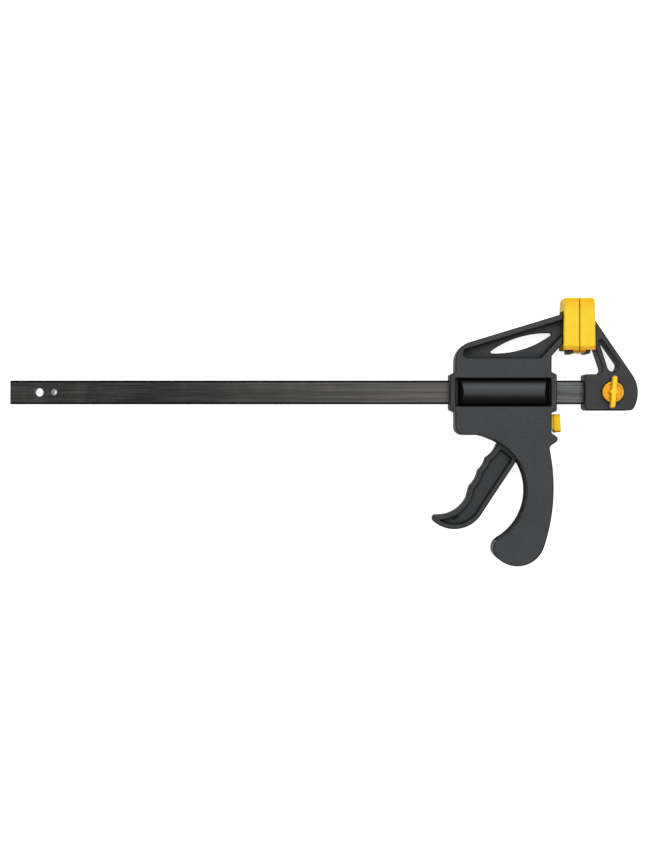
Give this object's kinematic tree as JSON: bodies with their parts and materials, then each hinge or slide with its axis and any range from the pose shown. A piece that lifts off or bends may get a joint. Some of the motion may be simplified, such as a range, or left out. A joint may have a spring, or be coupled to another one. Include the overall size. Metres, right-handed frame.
{
  "type": "quick release bar clamp",
  "caption": "One-handed bar clamp lying on its side: flat steel bar with a fixed padded jaw, and a sliding pistol-grip head with a padded jaw, squeeze trigger and release.",
  "frame": {"origin": "bottom centre of the whole clamp's bounding box, jaws closed, lying on its side", "axes": "+X along the bar from its free end towards the fixed jaw, +Y from the bar towards the jaw pads, +Z through the thickness towards the wing knob"},
  "size_m": [0.4744, 0.2026, 0.0333],
  "materials": {
    "bar_steel": "cold-drawn steel, lengthwise brushed, lightly scuffed",
    "pin_steel": "rolled spring steel, plain",
    "zinc_steel": "bright zinc plated steel",
    "screw_steel": "blackened steel",
    "plate_steel": "hardened steel plate, dull",
    "spring_steel": "drawn spring wire",
    "shell_plastic": "charcoal glass-filled nylon, fine matt grain",
    "jaw_plastic": "charcoal glass-filled nylon, fine matt grain",
    "trigger_plastic": "charcoal glass-filled nylon, fine matt grain",
    "pad_plastic": "yellow soft plastic, satin",
    "knob_plastic": "yellow moulded plastic, satin",
    "button_plastic": "yellow moulded plastic, satin"
  },
  "bodies": {
    "bar_and_jaw": {"bar": "bar_steel", "stop_pin": "pin_steel", "jaw_pin": "pin_steel", "fixed_jaw": "jaw_plastic", "fixed_pad": "pad_plastic", "captive_nut": "zinc_steel"},
    "head": {"front_shell": "shell_plastic", "rear_shell": "shell_plastic", "shell_screws": "screw_steel", "moving_pad": "pad_plastic", "trigger_pin": "pin_steel", "spring_washer": "zinc_steel", "drive_spring": "spring_steel", "brake_spring": "spring_steel"},
    "trigger_lever": {"trigger": "trigger_plastic"},
    "drive": {"drive_plate": "plate_steel"},
    "release": {"brake_plate": "plate_steel", "release_button": "button_plastic"},
    "wing_rise": {"wing_washer": "zinc_steel"},
    "wing_screw": {"wing_knob": "knob_plastic", "wing_stud": "zinc_steel"}
  },
  "joints": [
    {"name": "head_slide", "type": "slide", "parent": "bar_and_jaw", "child": "head", "axis": [-1, 0, 0], "range_m": [0, 0.296]},
    {"name": "trigger_squeeze", "type": "hinge", "parent": "head", "child": "trigger_lever", "pos_m": [0.14963, -0.0003, 0.0135], "axis": [0, 0, 1], "range_deg": [0, 17], "stiffness_Nm_per_rad": 0.6, "springref_deg": -14.32},
    {"name": "drive_push", "type": "slide", "parent": "head", "child": "drive", "axis": [-1, 0, 0], "range_m": [0, 0.004], "deforming": ["drive_spring"]},
    {"name": "release_press", "type": "hinge", "parent": "head", "child": "release", "pos_m": [0.16592, 0.0405, 0.0135], "axis": [0, 0, -1], "range_deg": [0, 3.4], "stiffness_Nm_per_rad": 0.3, "springref_deg": -8.59, "deforming": ["brake_spring"]},
    {"name": "wing_lift", "type": "slide", "parent": "bar_and_jaw", "child": "wing_rise", "axis": [0, 0, 1], "range_m": [0, 0.002]},
    {"name": "wing_turn", "type": "hinge", "parent": "wing_rise", "child": "wing_screw", "pos_m": [0.21777, 0.0299, 0.0135], "axis": [0, 0, 1], "range_deg": [0, 720]}
  ],
  "couplings": [
    {"joint": "drive_push", "follows": "trigger_squeeze", "m_per_rad": 0.013239},
    {"joint": "wing_lift", "follows": "wing_turn", "m_per_rad": 0.00015915}
  ]
}
